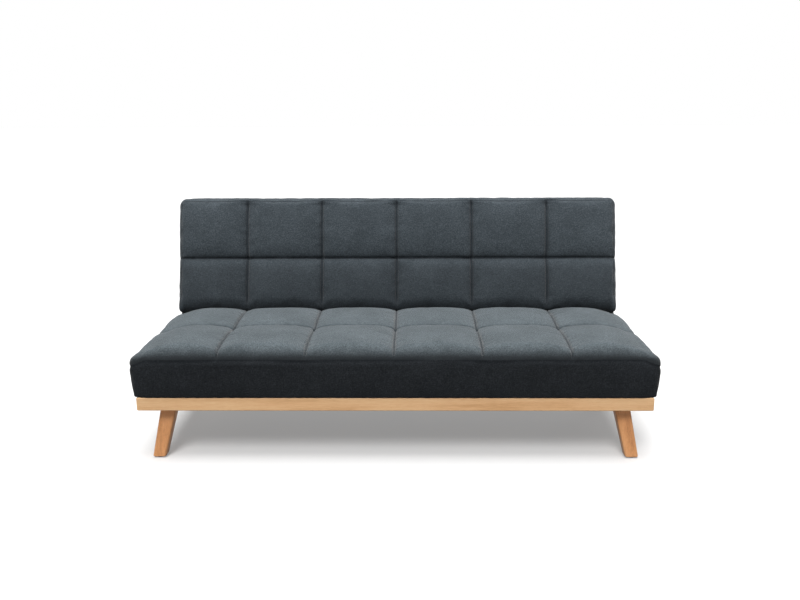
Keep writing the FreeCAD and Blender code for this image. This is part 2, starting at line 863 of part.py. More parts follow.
save("back_lower_member", raised(back_long_member(back_frame_near)))
save("back_upper_member", raised(back_long_member(back_frame_far - back_member)))
save_pair("back_side_member", raised(back_side_member()))
save("back_cross_members", [raised(member) for member in both_sides(back_cross_member())])
save("back_webbing", [raised(strap) for strap in webbing()])
save("back_panel", raised(back_panel()))
save("back_foam", raised(back_foam()))
save("back_cover", raised(back_cover()))

save_pair("seat_plate", seat_plate())
save_pair("back_plate", raised(back_plate()))
save("pivot_pins", both_sides(pivot_pin()))
save("pivot_washers", both_sides(pivot_washer()))
save_pair("pawl", pawl())
save("pawl_pins", both_sides(pawl_pin()))
seat_bolts = [at_hinge(bolt_x(seat_frame_x, y, z)) for y, z in seat_bolt_places()]
back_bolts = [raised(bolt_x(back_frame_x, y, z)) for y, z in back_bolt_places()]
save("seat_plate_bolts", [copy for bolt in seat_bolts for copy in both_sides(bolt)])
save("back_plate_bolts", [copy for bolt in back_bolts for copy in both_sides(bolt)])
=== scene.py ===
import json
import math

import bpy
from mathutils import Matrix, Vector, noise


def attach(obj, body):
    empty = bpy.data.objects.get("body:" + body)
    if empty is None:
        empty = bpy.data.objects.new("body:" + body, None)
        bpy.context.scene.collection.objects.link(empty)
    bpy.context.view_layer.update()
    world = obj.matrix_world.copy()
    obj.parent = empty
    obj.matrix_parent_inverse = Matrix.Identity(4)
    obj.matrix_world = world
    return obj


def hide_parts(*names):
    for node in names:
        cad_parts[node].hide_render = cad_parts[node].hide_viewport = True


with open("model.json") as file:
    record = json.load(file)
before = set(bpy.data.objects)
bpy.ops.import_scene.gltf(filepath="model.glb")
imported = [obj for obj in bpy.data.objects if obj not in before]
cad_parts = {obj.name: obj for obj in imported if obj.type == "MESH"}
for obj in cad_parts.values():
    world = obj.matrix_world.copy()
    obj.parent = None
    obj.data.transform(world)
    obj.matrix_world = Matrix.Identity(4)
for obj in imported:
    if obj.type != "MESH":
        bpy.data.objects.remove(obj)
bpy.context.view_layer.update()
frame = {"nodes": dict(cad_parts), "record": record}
scene = bpy.context.scene
nodes = frame["nodes"]

# Camera, fitted to the photograph
CAMERA = Vector((0.0643, -3.0726, 1.2331))
YAW, PITCH, ROLL = math.radians(0.904), math.radians(13.7946), math.radians(-0.294)
LENS, SENSOR = 37.56, 36.0

# The hinge that the back turns about, and how far the back is raised from lying flat
HINGE = Vector((0.0, 0.189154, 0.368))
RISE = math.radians(74.5)

# The cushions, in metres. Both are described with their cells on top: the seat in the shared frame, the back lying
# flat from its hinge. The near edge is the one at the lower y, and the far edge the one at the higher y.
#   half, near, far, bottom    outline and underside
#   seam, row                  height of the seams, and y of the seam between the two rows of cells
#   near_r, far_r, end_r       roundings of the top at its near and far edges and at its ends
#   low_r                      rounding of the underside's edge
#   draw, near_draw            how far the end walls and the near wall draw in towards the underside
#   near_keep, far_keep        how soon the valleys between the cells run out over an edge: the higher, the sooner
#   shoulder                   height of the end cells' outer edge above the seams
#   calm_edge, calm            the edge beside which the seams are shallow, and over what width
#   top_lines                  sewn lines along a rounding, each by its edge and its level on the rounding
#   nap                        where painted shade darkens the cloth: round the top's edge, or on the near row of cells
#   corners                    where the corners are squarer than a ball: down all walls, or only at the near edge
#   groove, dark               depth of a seam's groove, and how dark its painted shade is
SEAT = dict(
    half=0.905, near=-0.393846, far=0.181154, bottom=0.2302, seam=0.392, row=-0.091846,
    near_r=0.046, far_r=0.070, end_r=0.060, low_r=0.004, draw=0.007, near_draw=0.002,
    near_keep=2.0, far_keep=8.0, shoulder=-0.012, calm_edge="far", calm=0.045,
    top_lines=(("far", 0.83),), painted_shade="edge", corners="walls", groove=0.0075, dark=0.8,
)
BACK = dict(
    half=0.880, near=0.008, far=0.475, bottom=-0.085, seam=0.024, row=0.231,
    near_r=0.070, far_r=0.032, end_r=0.030, low_r=0.018, draw=0.006, near_draw=0.0,
    near_keep=10.0, far_keep=6.0, shoulder=0.007, calm_edge="near", calm=0.05,
    top_lines=(("far", 0.82), ("ends", 0.82)), painted_shade="row", corners="near", groove=0.0060, dark=0.6,
)
CELL = 0.300
SEAMS = [CELL * (i - 3) for i in range(1, 6)]
CROWN = 0.013
COLUMN_SHARP, END_INNER_SHARP, END_OUTER_SHARP, ROW_SHARP = 3.0, 2.5, 2.2, 2.1  # how flat the crowns are on top
CORNER_POWER = 2.5  # what a squarer corner adds to the ball's power of 2
EDGE_LIFT = 0.001  # of an edge that the valleys no longer reach

# The cushions' grids, in metres
STEP, WALL_STEP = 0.0115, 0.012
SEAM_LINES = (0.0, 0.0042, 0.0105)  # beside a seam
ROUNDING_LINES = (0.0, 0.27, 0.5, 0.7, 0.86, 1.0)  # across a rounding, as shares of it
ROUNDING_RINGS = (0.75, 0.5, 0.25, 0.0)  # down a rounding, as dz in place()
SEAM_TO_WALL = 0.03
UNDER_RING = 0.012
DRAW_POWER = 1.7  # how late a wall draws in on its way down

# Material slots of a cushion's mesh, in the order in which its materials are appended
TOP, WALL, UNDER = range(3)

# The cloth simulation that blows a cushion up, and the most that it may move a point, in metres
INFLATE_FRAMES = 20
INFLATE_CAP = 0.006

# The sewing, in metres: a groove, the dip beside it, its puckers, and the widths of its sharp and soft painted shade
SEAM_REACH = 0.07
GROOVE_WIDTH = 0.0034
DIP, DIP_WIDTH = 0.0026, 0.015
PUCKER, PUCKER_START, PUCKER_WIDTH = 0.0021, 0.006, 0.024
SHARP_WIDTH, SOFT_WIDTH, SOFT_SHADE = 0.0038, 0.009, 0.4
FULL_SLOPE = 0.5  # the upward slope from which a seam has its full depth
CALM_SHARE, CALM_RISE = 0.75, 1.6  # how much shallower the seams are beside the calm edge, and how soon
FAR_SHARE, FAR_WIDTH = 0.5, 0.03  # and beside the far edge
# A sewn line along a rounding, sunk and darkened with painted shade; its level is a slope, and the rounding's size
# turns slopes into metres
LINE_DEPTH, LINE_WIDTH, LINE_SHADE = 0.0016, 0.0022, 0.75
LINE_REACH, LINE_SLOPE, LINE_SLOPE_FADE, LINE_ROUNDING = 0.05, 0.9, 0.06, 0.05
# The line between the top and the boxing, darkened with painted shade, and the soft fold under it, both by the
# cloth's upward slope
BOXING_DEPTH, BOXING_WIDTH, BOXING_SHADE = 0.0024, 0.035, 0.55
BOXING_LEVEL, BOXING_WAVE = -0.01, 0.09
BOXING_BAND, BOXING_OUTWARD = 0.35, 0.6  # the upward and outward slopes between which they lie
FOLD_DEPTH, FOLD_LEVEL, FOLD_WIDTH, FOLD_SHARE = 0.0034, -0.13, 0.06, 0.25
BROAD_RELIEF, FINE_RELIEF = 0.0010, 0.0005
PLAIN_UNDERSIDE = 0.004  # up to this height above the underside nothing is moved
# Painted shade round the top's edge or on the near row: the upward slope at which it starts, how much slope it
# takes, and its width beside the row seam
SHADE_SLOPE, SHADE_SLOPE_FADE, SHADE_ROW = 0.93, 0.7, 0.05


def clamp(value):
    return max(0.0, min(1.0, value))


def grid_lines(stops, edges):
    """Grid lines from the first stop to the last: closer beside each stop, and through the roundings."""
    out = []
    for i, (a, b) in enumerate(zip(stops, stops[1:])):
        first, last = i == 0, i == len(stops) - 2
        lead = [edges[0] * share for share in ROUNDING_LINES] if first else list(SEAM_LINES)
        tail = [edges[1] * share for share in reversed(ROUNDING_LINES)] if last else list(reversed(SEAM_LINES))
        inner_a, inner_b = a + lead[-1], b - tail[0]
        count = max(2, round((inner_b - inner_a) / STEP))
        out += [a + step for step in lead]
        out += [inner_a + (inner_b - inner_a) * k / count for k in range(1, count)]
        out += [b - step for step in tail[:-1]]
    return out + [stops[-1]]


def hump(u, sharp):
    """A cell's crown: 0 at u = -1 and 1, and 1 in the middle."""
    return 1 - min(1.0, abs(u)) ** sharp


def across(x, s):
    """Crown across the columns, with a shoulder at each end."""
    edge = s["half"] - s["end_r"]
    x = max(-edge, min(edge, x))
    if abs(x) > SEAMS[-1]:
        u = 2 * (abs(x) - SEAMS[-1]) / (edge - SEAMS[-1]) - 1
        if u < 0:
            return CROWN * hump(u, END_INNER_SHARP)
        return s["shoulder"] + (CROWN - s["shoulder"]) * hump(u, END_OUTER_SHARP)
    u = 2 * ((x / CELL) % 1.0) - 1
    return CROWN * hump(u, COLUMN_SHARP)


def along(y, s):
    """Crown along the rows, down to the row seam and partly down to the edges."""
    y = max(s["near"] + s["near_r"], min(s["far"] - s["far_r"], y))
    a, b = (s["near"], s["row"]) if y < s["row"] else (s["row"], s["far"])
    return CROWN * hump(2 * (y - a) / (b - a) - 1, ROW_SHARP)


def place(px, py, dz, s):
    """A point of the cushion's top and the way its cloth faces, from a place on a box with the same outline.

    dz is 1 on top of the box, and smaller on the rings that lead down the rounding to the walls at 0.
    """
    half, near, far = s["half"], s["near"], s["far"]
    ry = s["near_r"] if py < s["row"] else s["far_r"]
    rx = s["end_r"]
    cx = max(rx - half, min(half - rx, px))
    cy = max(near + ry, min(far - ry, py))
    dx, dy = (px - cx) / rx, (py - cy) / ry
    n = Vector((dx, dy, dz)).normalized()
    down_walls = s["corners"] == "walls"
    if dx and dy and (dy < 0 or down_walls):
        power = 2 + CORNER_POWER * min(abs(dx), abs(dy)) * (1 - dz if down_walls else 1.0)
        n *= n.length / sum(abs(c) ** power for c in n) ** (1 / power)
    top = s["seam"] + across(cx, s) + along(cy, s)
    rz = rx
    side = abs(dx) + abs(dy)
    if side > 1e-6:
        share = abs(dy) / side
        rz = rx + (ry - rx) * share
        # Over the near and far edges the valleys run out into a straight edge; at the far corners it follows the
        # shoulders
        outer_half = abs(cx) > (SEAMS[-1] + half - rx) / 2
        crest = across(cx, s) if dy > 0 and outer_half else CROWN
        straight = s["seam"] + crest + along(cy, s) + EDGE_LIFT
        keep = min(1.0, n.z) ** (s["near_keep"] if dy < 0 else s["far_keep"])
        top += (straight - top) * (1 - keep) * share
    return Vector((cx + rx * n.x, cy + ry * n.y, top - rz * (1 - min(1.0, n.z)))), n.normalized()


def build(name, s):
    """The cushion as a grid of quads, open underneath, and the vertices that its seams and edges hold.

    The attribute "facing" says which way the cloth of the plain form faces.
    """
    xs = grid_lines([-s["half"]] + SEAMS + [s["half"]], (s["end_r"], s["end_r"]))
    ys = grid_lines([s["near"], s["row"], s["far"]], (s["near_r"], s["far_r"]))
    nx, ny = len(xs), len(ys)
    verts, facings, held = [], [], set()
    for y in ys:
        for x in xs:
            if any(abs(x - seam) < 1e-6 for seam in SEAMS) or abs(y - s["row"]) < 1e-6:
                held.add(len(verts))
            point, facing = place(x, y, 1.0, s)
            verts.append(point)
            facings.append(facing)
    faces = []
    for j in range(ny - 1):
        for i in range(nx - 1):
            a = j * nx + i
            faces.append((a, a + 1, a + nx + 1, a + nx))
    rim = [(i, 0) for i in range(nx)] + [(nx - 1, j) for j in range(1, ny)]
    rim += [(i, ny - 1) for i in range(nx - 2, -1, -1)] + [(0, j) for j in range(ny - 2, 0, -1)]
    ring = [j * nx + i for i, j in rim]
    boxes = [(xs[i], ys[j]) for i, j in rim]

    def add_ring(points, directions):
        new = list(range(len(verts), len(verts) + len(points)))
        verts.extend(points)
        facings.extend(directions)
        for k in range(len(ring)):
            m = (k + 1) % len(ring)
            faces.append((ring[k], new[k], new[m], ring[m]))
        return new

    for dz in ROUNDING_RINGS:
        spots = [place(x, y, dz, s) for x, y in boxes]
        ring = add_ring([point for point, _ in spots], [facing for _, facing in spots])
    held.update(ring)
    top_faces = len(faces)

    # Walls, drawn in a little towards the underside
    edge = [verts[k].copy() for k in ring]
    normals = [facing for _, facing in spots]
    low = s["bottom"] + s["low_r"]
    walls = max(4, round((s["seam"] - SEAM_TO_WALL - low) / WALL_STEP))
    for k in range(1, walls + 1):
        t = k / walls
        points = []
        for p, n in zip(edge, normals):
            draw = s["draw"] * abs(n.x) + (s["near_draw"] * -n.y if n.y < 0 else 0.0)
            z = p.z + (low - p.z) * t
            points.append(Vector((p.x - n.x * draw * t**DRAW_POWER, p.y - n.y * draw * t**DRAW_POWER, z)))
        ring = add_ring(points, [n - Vector((0, 0, t)) for n in normals])
    held.update(ring)

    # The underside's rounded edge and a flat ring inside it
    foot = [verts[k].copy() for k in ring]
    below = [Vector((0, 0, -1))] * len(ring)
    for turn in (30, 60, 90):
        a = math.radians(turn)
        back, drop = s["low_r"] * (1 - math.cos(a)), s["low_r"] * math.sin(a)
        ring = add_ring([p - n * back - Vector((0, 0, drop)) for p, n in zip(foot, normals)], below)
    held.update(ring)
    inset, drop = s["low_r"] + UNDER_RING, s["low_r"]
    ring = add_ring([p - n * inset - Vector((0, 0, drop)) for p, n in zip(foot, normals)], below)
    held.update(ring)

    mesh = bpy.data.meshes.new(name)
    mesh.from_pydata([tuple(v) for v in verts], [], faces)
    mesh.polygons.foreach_set("material_index", [TOP if k < top_faces else WALL for k in range(len(faces))])
    marks = mesh.attributes.new("facing", "FLOAT_VECTOR", "POINT")
    marks.data.foreach_set("vector", [c for facing in facings for c in facing])
    mesh.update()
    piece = bpy.data.objects.new(name, mesh)
    scene.collection.objects.link(piece)
    return piece, sorted(held)


def inflate(piece, held):
    """Blows the sewn cover up between its seams, and keeps each point's move under the cap."""
    mesh = piece.data
    start = [v.co.copy() for v in mesh.vertices]
    group = piece.vertex_groups.new(name="held")
    group.add(held, 1.0, "REPLACE")
    cloth = piece.modifiers.new("Cloth", "CLOTH")
    s = cloth.settings
    s.quality = 5
    s.mass = 0.2
    s.tension_stiffness = s.compression_stiffness = 20
    s.shear_stiffness = 8
    s.bending_stiffness = 0.6
    s.use_pressure = True
    s.uniform_pressure_force = 4.0
    s.effector_weights.gravity = 0
    s.vertex_group_mass = "held"
    s.pin_stiffness = 5
    s.shrink_min = -0.012
    cloth.collision_settings.use_collision = False
    cloth.point_cache.frame_start, cloth.point_cache.frame_end = 1, INFLATE_FRAMES
    for f in range(1, INFLATE_FRAMES + 1):
        scene.frame_set(f)
    ready = piece.evaluated_get(bpy.context.evaluated_depsgraph_get())
    moved = [v.co.copy() for v in ready.data.vertices]
    piece.modifiers.remove(cloth)
    piece.vertex_groups.clear()
    scene.frame_set(1)
    for v, a, b in zip(mesh.vertices, start, moved):
        d = b - a
        if d.length > 1e-9:
            d *= INFLATE_CAP * math.tanh(d.length / INFLATE_CAP) / d.length
        v.co = a + d


def subdivide(piece):
    """One Catmull-Clark subdivision, applied."""
    smooth = piece.modifiers.new("Smooth", "SUBSURF")
    smooth.levels = smooth.render_levels = 1
    ready = piece.evaluated_get(bpy.context.evaluated_depsgraph_get())
    mesh = bpy.data.meshes.new_from_object(ready)
    piece.modifiers.remove(smooth)
    old = piece.data
    piece.data = mesh
    bpy.data.meshes.remove(old)
    mesh.name = piece.name


def bell(d, width):
    """1 at d = 0, and less on both sides of it."""
    return math.exp(-((d / width) ** 2))


def sewn_seam(d, along, key, fade, s, seed):
    """How far a seam moves the cloth at distance d from it, and how much painted shade it puts there.

    A seam is a narrow groove, the cloth drawn down beside it, and small puckers that differ on its two sides. The
    key and the numbers beside it only keep the ripples of two seams or sides from being alike.
    """
    side = 1 if d > 0 else -1
    ripple = noise.noise(Vector((along * 42, seed + key + side * 2.1, 0.3)))
    ripple += 0.6 * noise.noise(Vector((along * 95, seed + key * 1.7 + side * 5.7, 4.3)))
    groove = -s["groove"] * bell(d, GROOVE_WIDTH) - DIP * bell(d, DIP_WIDTH)
    pucker = PUCKER * ripple * min(1, abs(d) / PUCKER_START) * bell(d, PUCKER_WIDTH)
    shade = s["dark"] * fade * max(bell(d, SHARP_WIDTH), SOFT_SHADE * bell(d, SOFT_WIDTH))
    return fade * (groove + pucker), shade


def top_line(facing, edge, level):
    """How strongly a sewn line along a rounding shows, from the way the cloth faces."""
    reach = facing.y if edge == "far" else abs(facing.x)
    slope = math.hypot(facing.z, reach)
    if reach <= LINE_REACH or slope <= LINE_SLOPE:
        return 0.0
    d = (facing.z / slope - level) * LINE_ROUNDING
    return bell(d, LINE_WIDTH) * min(1.0, (slope - LINE_SLOPE) / LINE_SLOPE_FADE)


def painted_shade_share(p, up, s):
    """How much painted shade a point gets: round the top's edge, or on the near row of cells."""
    if s["painted_shade"] == "edge":
        return clamp((SHADE_SLOPE - up) / SHADE_SLOPE_FADE)
    return clamp((s["row"] - p.y) / SHADE_ROW)


def stitch(piece, s, seed):
    """Sinks the sewn seams and puckers the cloth beside them.

    The attribute "painted_seam_shade" says how much painted shade a seam puts on each point, and "nap" how much
    painted shade falls there round the top's edge or on the near row of cells.
    """
    mesh = piece.data
    facings = [Vector(d.vector) for d in mesh.attributes["facing"].data]
    calm_edge = s[s["calm_edge"]]
    moves, shades, shade_shares = [], [], []
    for v, n in zip(mesh.vertices, mesh.vertex_normals):
        p, facing = v.co, facings[v.index]
        up = facing.z
        total = shade = 0.0
        if up > 0.0:
            row_fade = min(1.0, up / FULL_SLOPE)
            fade = row_fade
            fade *= 1 - CALM_SHARE * min(1.0, CALM_RISE * max(0.0, 1 - abs(p.y - calm_edge) / s["calm"]))
            fade *= 1 - FAR_SHARE * max(0.0, 1 - abs(p.y - s["far"]) / FAR_WIDTH)
            sewn = [sewn_seam(p.x - x, p.y, k * 7.3, fade, s, seed)
                    for k, x in enumerate(SEAMS) if abs(p.x - x) < SEAM_REACH]
            if abs(p.y - s["row"]) < SEAM_REACH:
                sewn.append(sewn_seam(p.y - s["row"], p.x, 40, row_fade, s, seed))
            for sink, dark in sewn:
                total += sink
                shade = max(shade, dark)
            for edge, level in s["top_lines"]:
                line = top_line(facing, edge, level)
                total -= LINE_DEPTH * line
                shade = max(shade, LINE_SHADE * line)
        if abs(up) < BOXING_BAND and math.hypot(facing.x, facing.y) > BOXING_OUTWARD:
            wave = BOXING_WAVE * noise.noise(Vector((p.x * 6, p.y * 6, seed)))
            line = bell(up - BOXING_LEVEL + wave, BOXING_WIDTH)
            total -= BOXING_DEPTH * line
            shade = max(shade, BOXING_SHADE * line)
            fold = noise.noise(Vector((p.x * 3 + 7, p.y * 3, seed + 9)))
            total += FOLD_DEPTH * max(0.0, fold + FOLD_SHARE) * bell(up - FOLD_LEVEL + 0.5 * wave, FOLD_WIDTH)
        broad = noise.noise(Vector((p.x * 7 + seed, p.y * 9, p.z * 9)))
        fine = noise.noise(Vector((p.x * 21 + seed, p.y * 24, p.z * 22)))
        total += BROAD_RELIEF * broad + FINE_RELIEF * fine
        if p.z < s["bottom"] + PLAIN_UNDERSIDE:
            total = 0.0
        moves.append(n.vector * total)
        shades.append(min(1.0, shade))
        shade_shares.append(painted_shade_share(p, up, s))
    for v, move in zip(mesh.vertices, moves):
        v.co += move
    for key, values in (("painted_seam_shade", shades), ("painted_shade", shade_shares)):
        mesh.attributes.new(key, "FLOAT", "POINT").data.foreach_set("value", values)


def open_edge(mesh):
    """The vertices round the mesh's one opening, in order."""
    uses = {}
    for polygon in mesh.polygons:
        for key in polygon.edge_keys:
            uses[key] = uses.get(key, 0) + 1
    beside = {}
    for a, b in (key for key, count in uses.items() if count == 1):
        beside.setdefault(a, []).append(b)
        beside.setdefault(b, []).append(a)
    loop, last = [next(iter(beside))], None
    while True:
        here = loop[-1]
        step = [k for k in beside[here] if k != last][0]
        if step == loop[0]:
            return loop
        loop.append(step)
        last = here


def close_under(piece, s):
    """Closes the flat underside with a fan round its middle."""
    mesh = piece.data
    loop = open_edge(mesh)
    pairs = list(zip(loop, loop[1:] + loop[:1]))
    verts = [tuple(v.co) for v in mesh.vertices]
    faces = [tuple(p.vertices) for p in mesh.polygons]
    cloths = [p.material_index for p in mesh.polygons]
    middle = len(verts)
    centre = Vector((0, 0, 0))
    for k in loop:
        centre += mesh.vertices[k].co
    centre /= len(loop)
    verts.append((centre.x, centre.y, s["bottom"]))
    spokes = {k: mesh.vertices[k].co.xy - centre.xy for k in loop}
    turn = sum(spokes[a].x * spokes[b].y - spokes[b].x * spokes[a].y for a, b in pairs)
    faces += [(b, a, middle) if turn > 0 else (a, b, middle) for a, b in pairs]
    new = bpy.data.meshes.new(piece.name)
    new.from_pydata(verts, [], faces)
    new.polygons.foreach_set("use_smooth", [True] * len(faces))
    new.polygons.foreach_set("material_index", cloths + [UNDER] * len(pairs))
    for key in ("painted_seam_shade", "painted_shade"):
        values = [d.value for d in mesh.attributes[key].data] + [0.0]
        new.attributes.new(key, "FLOAT", "POINT").data.foreach_set("value", values)
    new.update()
    piece.data = new
    bpy.data.meshes.remove(mesh)
    new.name = piece.name


def cushion(name, s, seed):
    """One cushion's closed mesh."""
    piece, held = build(name, s)
    inflate(piece, held)
    subdivide(piece)
    stitch(piece, s, seed)
    close_under(piece, s)
    return piece


# Materials


def srgb(text):
    """A colour's linear values from its hexadecimal ones."""
    values = [int(text[i:i + 2], 16) / 255 for i in (0, 2, 4)]
    return tuple(v / 12.92 if v <= 0.04045 else ((v + 0.055) / 1.055) ** 2.4 for v in values)


class Nodes:
    """A short way to write a node tree."""

    def __init__(self, tree, output):
        self.tree = tree
        tree.nodes.clear()
        self.out = self.add(output)

    def add(self, kind, **values):
        node = self.tree.nodes.new("ShaderNode" + kind)
        for key, value in values.items():
            setattr(node, key, value)
        return node

    def put(self, socket, value):
        """Gives a socket a number, a colour or another node's output."""
        if isinstance(value, bpy.types.NodeSocket):
            self.tree.links.new(value, socket)
        elif isinstance(value, tuple) and len(value) == 3 and socket.type == "RGBA":
            socket.default_value = (*value, 1)
        else:
            socket.default_value = value

    def math(self, op, a, b):
        node = self.add("Math", operation=op)
        self.put(node.inputs[0], a)
        self.put(node.inputs[1], b)
        return node.outputs[0]

    def blend(self, *parts):
        """The sum of the parts, each with its weight."""
        terms = [self.math("MULTIPLY", value, weight) for value, weight in parts]
        total = terms[0]
        for term in terms[1:]:
            total = self.math("ADD", total, term)
        return total

    def coords(self, scale=1, turn=(0, 0, 0)):
        """The object's own coordinates, with one scale or one for each axis."""
        mapping = self.add("Mapping")
        self.put(mapping.inputs["Rotation"], turn)
        self.put(mapping.inputs["Scale"], (scale,) * 3 if isinstance(scale, (int, float)) else scale)
        self.put(mapping.inputs["Vector"], self.add("TexCoord").outputs["Object"])
        return mapping.outputs["Vector"]

    def noise(self, vector, detail, rough):
        node = self.add("TexNoise")
        for key, value in (("Vector", vector), ("Scale", 1.0), ("Detail", detail), ("Roughness", rough)):
            self.put(node.inputs[key], value)
        return node.outputs["Fac"]

    def ramp(self, value, stops):
        node = self.add("ValToRGB")
        band = node.color_ramp
        while len(band.elements) < len(stops):
            band.elements.new(0.5)
        for element, (at, colour) in zip(band.elements, stops):
            element.position = at
            element.color = (*colour, 1)
        self.put(node.inputs["Fac"], value)
        return node.outputs["Color"]

    def mix(self, share, a, b, kind="MIX"):
        node = self.add("Mix", data_type="RGBA", blend_type=kind)
        for key, value in (("Factor", share), ("A", a), ("B", b)):
            self.put(node.inputs[key], value)
        return node.outputs["Result"]

    def shader(self, colour, rough, bump, distance, strength, **plain):
        """The material's shader, with a bump; the plain values are set on its own sockets."""
        node = self.add("BsdfPrincipled")
        self.put(node.inputs["Base Color"], colour)
        self.put(node.inputs["Roughness"], rough)
        for key, value in plain.items():
            node.inputs[key.replace("_", " ")].default_value = value
        relief = self.add("Bump")
        for key, value in (("Strength", strength), ("Distance", distance), ("Height", bump)):
            self.put(relief.inputs[key], value)
        self.put(node.inputs["Normal"], relief.outputs["Normal"])
        self.put(self.out.inputs["Surface"], node.outputs[0])

    def backdrop_rays(self):
        """1 for the rays that see the backdrop: the camera's, and those through gloss and glass."""
        rays = self.add("LightPath").outputs
        seen = self.math("MAXIMUM", rays["Is Camera Ray"], rays["Is Glossy Ray"])
        return self.math("MAXIMUM", seen, rays["Is Transmission Ray"])


def new_material(name):
    material = bpy.data.materials.new(name)
    material.use_nodes = True
    return material, Nodes(material.node_tree, "OutputMaterial")


# Colours of painted shade, round the top's edge or on the near row of cells and in the seams, and how strongly the
# seams' shade darkens
PAINTED_SHADE_COLOUR, SEAM_SHADE_COLOUR = srgb("272a2d"), srgb("12161a")
SEAM_SHADE_STRENGTH = 0.85


def cloth_material(name, dark, middle, light, turn=(0, 0, 0), pitch=0.0016, sheen=0.3, painted_shade=0.0):
    """A melange linen of three shades, with painted shade round the top's edge or on the near row of cells, and in
    the seams.
    """
    material, n = new_material(name)
    # Slubs run along X, along Y and along Z, so that each face shows two sets of them
    lengthwise, crosswise = 60, 620
    slubs = []
    for axis in range(3):
        scale = [lengthwise if i == axis else crosswise for i in range(3)]
        slubs.append(n.noise(n.coords(scale, turn), 2.0, 0.55))
    weave = n.math("MAXIMUM", n.math("MAXIMUM", slubs[0], slubs[1]), slubs[2])
    fleck = n.noise(n.coords(1 / pitch, turn), 3.0, 0.7)
    cloud = n.noise(n.coords(9, turn), 3.0, 0.6)
    grain = n.math("SUBTRACT", n.noise(n.coords(260, turn), 2.0, 0.6), 0.5)
    value = n.blend((weave, 0.8), (fleck, 0.35), (cloud, 0.22), (grain, 0.55))
    colour = n.ramp(value, [(0.50, srgb(dark)), (0.72, srgb(middle)), (0.94, srgb(light))])
    # Painted shade: the cloth darkens round the top's edge or on the near row of cells, and in and beside the seams
    for key, share, shade in (("painted_shade", painted_shade, PAINTED_SHADE_COLOUR), ("painted_seam_shade", SEAM_SHADE_STRENGTH, SEAM_SHADE_COLOUR)):
        mark = n.add("Attribute", attribute_name=key).outputs["Fac"]
        colour = n.mix(n.math("MULTIPLY", mark, share), colour, shade)
    # The weave's relief: a fine grid of threads, with the slubs standing a little above it
    parts = n.add("SeparateXYZ")
    n.put(parts.inputs[0], n.coords(1, turn))
    waves = []
    for axis in range(3):
        node = n.add("Math", operation="SINE")
        n.put(node.inputs[0], n.math("MULTIPLY", parts.outputs[axis], 2 * math.pi / pitch))
        waves.append(node.outputs[0])
    x, y, z = waves
    height = n.math("ADD", n.math("MULTIPLY", x, y), n.math("MULTIPLY", y, z))
    height = n.math("ADD", height, n.math("MULTIPLY", x, z))
    height = n.blend((height, 0.35), (weave, 1.2))
    rough = n.math("ADD", n.math("MULTIPLY", fleck, 0.12), 0.82)
    n.shader(colour, rough, height, 0.0006, 0.55,
             Sheen_Weight=sheen, Sheen_Roughness=0.4, Specular_IOR_Level=0.08)
    return material


def wood_material(name, pale, middle, dark, axis, rough=0.42):
    """Straight-grained wood with pores and growth bands that run along one axis."""
    material, n = new_material(name)

    def grain(scale, stretch, detail, roughness):
        return n.noise(n.coords([scale * (stretch if i == axis else 1.0) for i in range(3)]), detail, roughness)

    bands = grain(38, 0.055, 3.0, 0.6)
    fine = grain(420, 0.055, 3.0, 0.65)
    pores = grain(1500, 0.03, 1.0, 0.5)
    wide = grain(6, 0.5, 2.0, 0.5)
    value = n.blend((bands, 0.5), (fine, 0.32), (wide, 0.25))
    colour = n.ramp(value, [(0.33, srgb(dark)), (0.53, srgb(middle)), (0.74, srgb(pale))])
    pits = n.math("GREATER_THAN", pores, 0.66)
    colour = n.mix(n.math("MULTIPLY", pits, 0.22), colour, srgb(dark), "MULTIPLY")
    relief = n.blend((fine, 0.6), (pits, -0.35))
    roughness = n.math("ADD", n.math("MULTIPLY", fine, 0.18), rough - 0.09)
    n.shader(colour, roughness, relief, 0.0005, 0.35, Specular_IOR_Level=0.4, Coat_Weight=0.15, Coat_Roughness=0.35)
    return material


def metal_material(name, colour, rough, metallic=1.0):
    """Metal with soft spots and fine scratches that make it a little rougher and darker."""
    material, n = new_material(name)
    spots = n.noise(n.coords(160), 4.0, 0.6)
    scratches = n.noise(n.coords((40, 900, 900)), 2.0, 0.5)
    low, high = tuple(c * 0.82 for c in srgb(colour)), tuple(min(1, c * 1.12) for c in srgb(colour))
    tone = n.ramp(n.blend((spots, 0.6), (scratches, 0.4)), [(0.35, low), (0.65, high)])
    spread = 0.12
    roughness = n.math("ADD", n.math("MULTIPLY", spots, spread * 2), rough - spread)
    n.shader(tone, roughness, scratches, 0.0002, 0.2, Metallic=metallic)
    return material


def soft_material(name, dark, light, scale, rough=0.95, bump=0.001):
    """Felt, webbing, plastic or non-woven cloth: fine grain at one scale with wider clouds."""
    material, n = new_material(name)
    grain = n.noise(n.coords(scale), 4.0, 0.7)
    cloud = n.noise(n.coords(14), 2.0, 0.5)
    tone = n.ramp(n.blend((grain, 0.7), (cloud, 0.3)), [(0.35, srgb(dark)), (0.65, srgb(light))])
    n.shader(tone, rough, grain, bump, 0.5, Specular_IOR_Level=0.25)
    return material


RAISED = (-RISE, 0, 0)  # turns the weave with the raised back
# One fabric in three shades: the back's cloth is darker than the seat's and the boxing's darker still, painted shade
# for faces that get less light
seat_cloth = cloth_material("seat_cloth", "373d40", "50585c", "717a7f", painted_shade=0.9)
shaded_boxing_cloth = cloth_material("shaded_boxing_cloth", "17191c", "222528", "33363a", sheen=0.05)
back_cloth = cloth_material("back_cloth", "2e3337", "41484d", "5b6369", RAISED, sheen=0.2, painted_shade=0.35)
rear_cloth = cloth_material("rear_cloth", "1b1d1f", "26292b", "34383a", RAISED, 0.0012, 0.05)
dust_cloth = soft_material("dust_cloth", "141414", "202020", 900)

